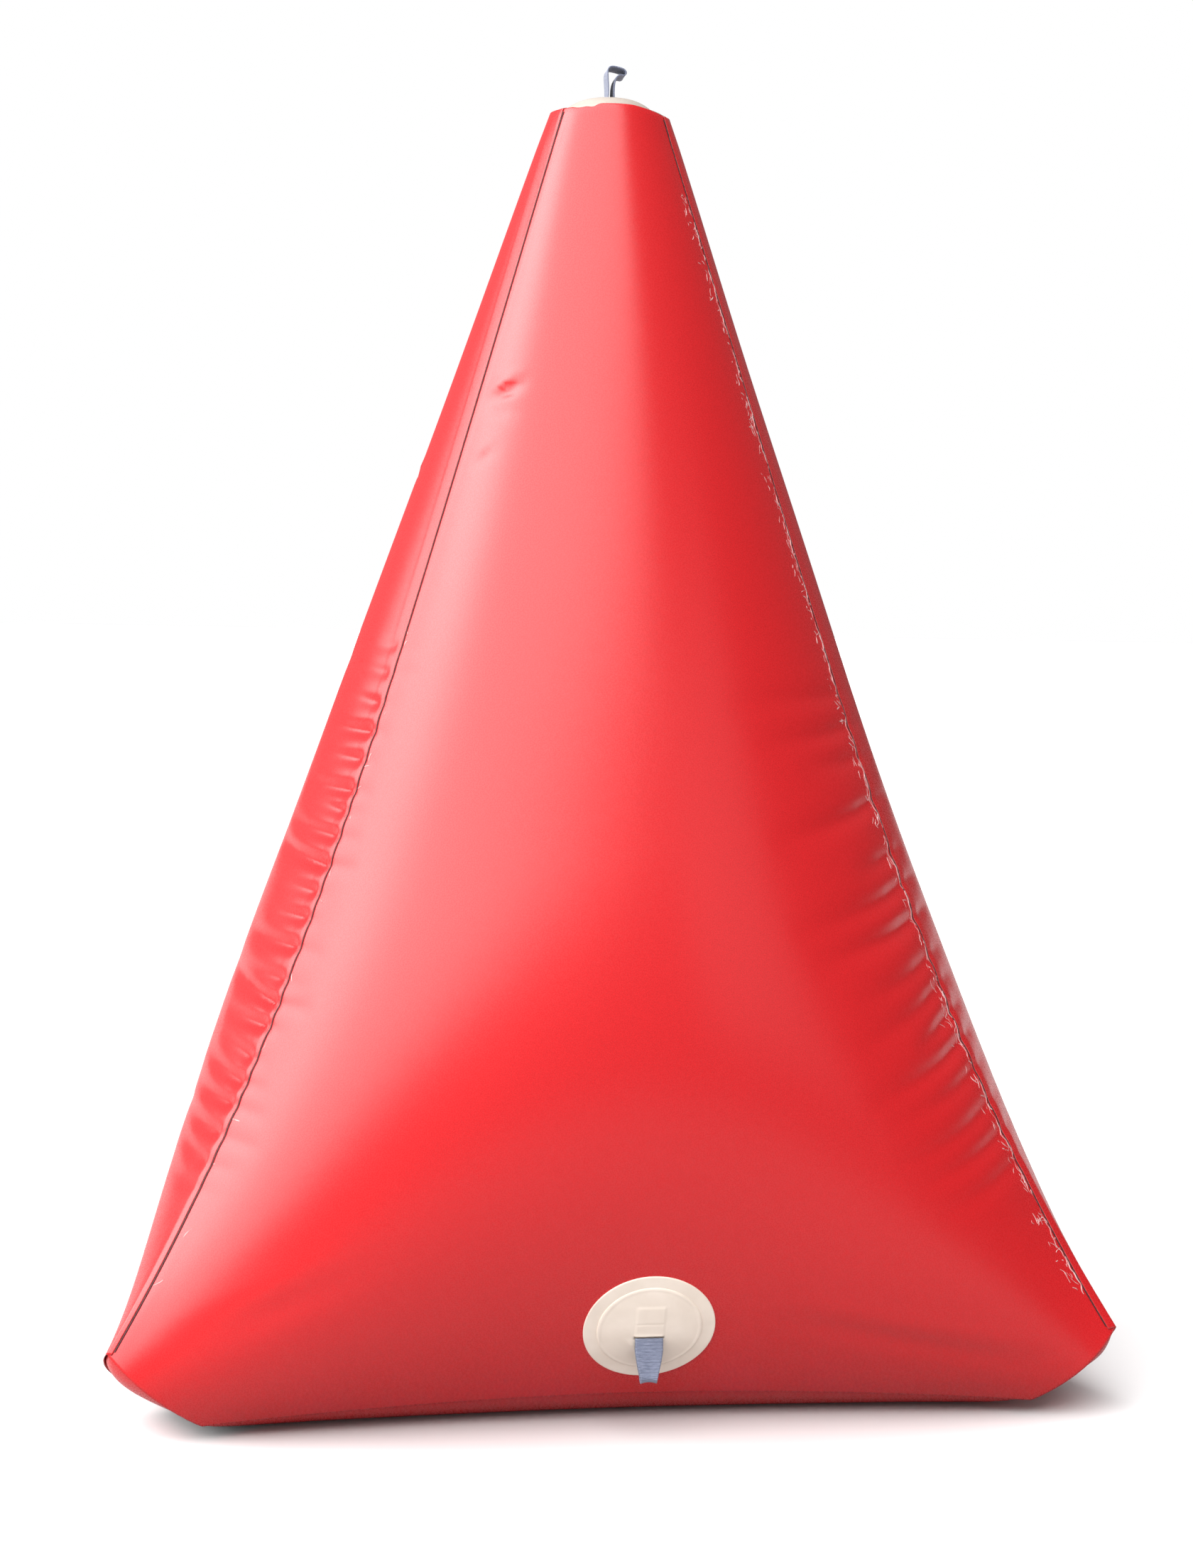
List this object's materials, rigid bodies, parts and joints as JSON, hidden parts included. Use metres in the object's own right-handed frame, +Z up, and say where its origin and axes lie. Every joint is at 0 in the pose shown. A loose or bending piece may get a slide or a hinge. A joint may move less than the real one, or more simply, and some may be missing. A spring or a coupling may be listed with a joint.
{
  "type": "inflatable marker buoy",
  "caption": "Tapering three-sided inflatable fabric buoy with rounded cut corners, a moulded top disc with a webbing loop, webbing anchor patches low on its faces and a capped air valve.",
  "frame": {"origin": "on the bag's upright axis at ground level, in the middle of the flat base", "axes": "+Z up through the top disc; the front face with the anchor patch looks along -Y; +X to the right seen from the front"},
  "size_m": [1.4254, 1.3613, 1.9334],
  "materials": {
    "coated_fabric": "satin PVC-coated fabric",
    "tape": "satin PVC-coated tape",
    "patch_pvc": "smooth off-white moulded PVC",
    "webbing": "ribbed polyester webbing",
    "valve_plastic": "moulded grey nylon",
    "black_plastic": "moulded black plastic",
    "rubber": "soft black rubber",
    "steel": "bright stainless wire"
  },
  "bodies": {
    "bag": {"front_panel": "coated_fabric", "left_panel": "coated_fabric", "right_panel": "coated_fabric", "base_panel": "coated_fabric", "left_corner_cap": "coated_fabric", "right_corner_cap": "coated_fabric", "rear_corner_cap": "coated_fabric", "left_seam_tape": "tape", "right_seam_tape": "tape", "rear_seam_tape": "tape", "front_base_tape": "tape", "left_base_tape": "tape", "right_base_tape": "tape", "top_disc": "patch_pvc", "top_cover": "patch_pvc", "top_tail": "webbing", "front_anchor_base": "patch_pvc", "front_anchor_cover": "patch_pvc", "front_anchor_tail": "webbing", "right_anchor_base": "patch_pvc", "right_anchor_cover": "patch_pvc", "right_anchor_tail": "webbing", "left_anchor_base": "patch_pvc", "left_anchor_cover": "patch_pvc", "left_anchor_tail": "webbing", "valve_doubler": "coated_fabric", "valve_gasket": "rubber", "valve_body": "valve_plastic", "valve_ring_nut": "valve_plastic", "valve_spring": "steel", "cap_tether": "black_plastic"},
    "top_loop": {"top_loop": "webbing"},
    "front_loop": {"front_anchor_loop": "webbing"},
    "right_loop": {"right_anchor_loop": "webbing"},
    "left_loop": {"left_anchor_loop": "webbing"},
    "valve_push": {"valve_seal": "rubber"},
    "valve_twist": {"valve_plunger": "black_plastic", "stem_clip": "steel"},
    "cap_carrier": {"tether_eye": "black_plastic"},
    "cap": {"valve_cap": "black_plastic", "cap_seal": "rubber"}
  },
  "joints": [
    {"name": "top_loop_fold", "type": "hinge", "parent": "bag", "child": "top_loop", "pos_m": [0, 0, 1.8814], "axis": [0, 1, 0], "range_deg": [-70, 70]},
    {"name": "front_loop_swing", "type": "hinge", "parent": "bag", "child": "front_loop", "pos_m": [0.01699, -0.48662, 0.14987], "axis": [-1, 0.0042, 0], "range_deg": [-8, 130]},
    {"name": "right_loop_swing", "type": "hinge", "parent": "bag", "child": "right_loop", "pos_m": [0.41293, 0.25802, 0.14987], "axis": [0.4963, -0.8681, 0], "range_deg": [-8, 130]},
    {"name": "left_loop_swing", "type": "hinge", "parent": "bag", "child": "left_loop", "pos_m": [-0.42992, 0.2286, 0.14987], "axis": [0.5037, 0.8639, 0], "range_deg": [-8, 130]},
    {"name": "plunger_push", "type": "slide", "parent": "bag", "child": "valve_push", "axis": [-0.866, -0.5, 0], "range_m": [0, 0.006], "stiffness_N_per_m": 500, "springref_m": -0.004, "deforming": ["valve_spring"]},
    {"name": "plunger_twist", "type": "hinge", "parent": "valve_push", "child": "valve_twist", "pos_m": [0.48193, 0.27824, 0.42769], "axis": [0.866, 0.5, 0], "range_deg": [0, 90]},
    {"name": "cap_pull", "type": "slide", "parent": "bag", "child": "cap_carrier", "axis": [0.866, 0.5, 0], "range_m": [0, 0.03]},
    {"name": "cap_turn", "type": "hinge", "parent": "cap_carrier", "child": "cap", "pos_m": [0.48141, 0.27794, 0.42769], "axis": [0.866, 0.5, 0], "continuous": true}
  ]
}
